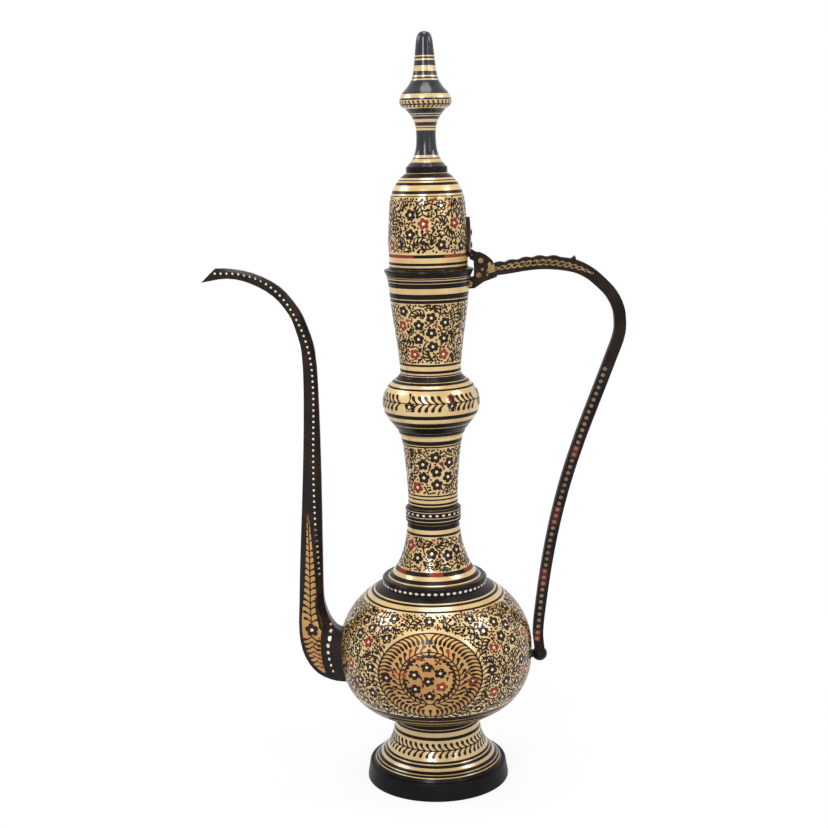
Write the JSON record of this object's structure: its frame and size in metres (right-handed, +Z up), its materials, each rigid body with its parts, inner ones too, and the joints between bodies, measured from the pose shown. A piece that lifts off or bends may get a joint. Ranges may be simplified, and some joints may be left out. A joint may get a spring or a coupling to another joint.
{
  "type": "surahi",
  "caption": "Tall lacquered brass ewer with a globe body, a turned neck, a swan-neck spout, a scalloped bow handle and a hinged domed lid with a spire finial",
  "frame": {"origin": "On the vessel's axis, in the plane of the face that it stands on.", "axes": "+Z up along the vessel's axis, -X towards the spout, +X towards the handle, -Y towards the viewer."},
  "size_m": [0.3386, 0.1594, 0.61],
  "materials": {
    "engraved_brass": "polished, with engraved lines and lacquer inlay",
    "plain_brass": "polished",
    "black_lacquer": "brass under gloss black lacquer",
    "dark_lacquer": "brass under worn black and red-brown lacquer",
    "satin_black": "brass under satin black lacquer"
  },
  "bodies": {
    "vessel": {"base_ring": "satin_black", "foot": "engraved_brass", "body_lower": "engraved_brass", "body_upper": "engraved_brass", "shoulder_ring": "black_lacquer", "lower_neck": "engraved_brass", "neck_collar": "black_lacquer", "middle_neck": "engraved_brass", "knop": "engraved_brass", "cup": "engraved_brass", "cup_rim": "black_lacquer", "hinge_pin": "plain_brass", "handle": "dark_lacquer", "lug_rivet": "plain_brass", "handle_ball": "black_lacquer", "ball_stud": "plain_brass", "spout": "dark_lacquer"},
    "lid": {"lid_wall": "engraved_brass", "lid_flange": "plain_brass", "lid_cap": "black_lacquer", "finial": "black_lacquer", "finial_washer": "plain_brass", "finial_nut": "plain_brass", "lid_strap": "dark_lacquer", "strap_rivets": "dark_lacquer"}
  },
  "joints": [
    {"name": "lid_hinge", "type": "hinge", "parent": "vessel", "child": "lid", "pos_m": [0.0414, 0, 0.43204], "axis": [0, 1, 0], "range_deg": [0, 95]}
  ]
}
